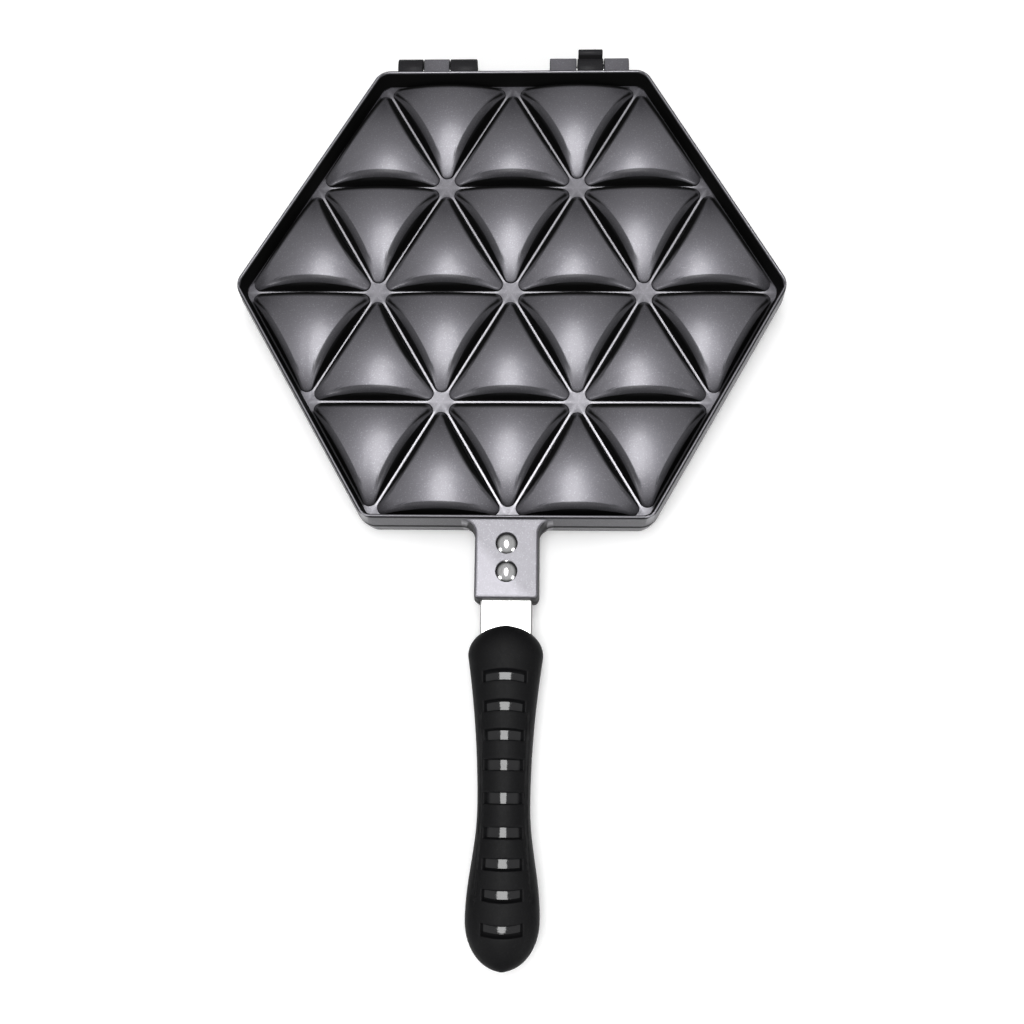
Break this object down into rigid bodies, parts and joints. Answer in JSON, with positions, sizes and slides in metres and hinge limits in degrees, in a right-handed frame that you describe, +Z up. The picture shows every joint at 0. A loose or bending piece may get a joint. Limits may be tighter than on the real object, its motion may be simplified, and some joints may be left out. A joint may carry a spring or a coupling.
{
  "type": "samosa pan",
  "caption": "Hinged double-sided hexagonal pan with triangular pockets for filled pastries and two long grips.",
  "frame": {"origin": "under the middle of the closed pan's box, on the surface it stands on", "axes": "+Y from the grips towards the hinge, +Z up, +X to the right seen from above with the grips towards the viewer"},
  "size_m": [0.2456, 0.4092, 0.0258],
  "materials": {
    "coated_casting": "satin dark grey non-stick coating on cast aluminium",
    "brushed_steel_bar": "brushed stainless steel",
    "polished_steel": "polished stainless steel",
    "plated_steel": "plain bright steel",
    "glossy_core": "glossy black moulded plastic",
    "matt_grip": "matt black soft moulded plastic"
  },
  "bodies": {
    "lower_half": {"lower_pan": "coated_casting", "lower_tang": "brushed_steel_bar", "lower_rivets": "polished_steel", "lower_handle_core": "glossy_core", "lower_grip_sleeve": "matt_grip", "lower_handle_screws": "plated_steel", "left_hinge_pin": "plated_steel"},
    "upper_half": {"upper_pan": "coated_casting", "upper_tang": "brushed_steel_bar", "upper_rivets": "polished_steel", "upper_handle_core": "glossy_core", "upper_grip_sleeve": "matt_grip", "upper_handle_screws": "plated_steel", "right_hinge_pin": "plated_steel"}
  },
  "joints": [
    {"name": "pan_hinge", "type": "hinge", "parent": "lower_half", "child": "upper_half", "pos_m": [0, 0.19701, 0.0129], "axis": [-1, 0, 0], "range_deg": [0, 95]}
  ]
}
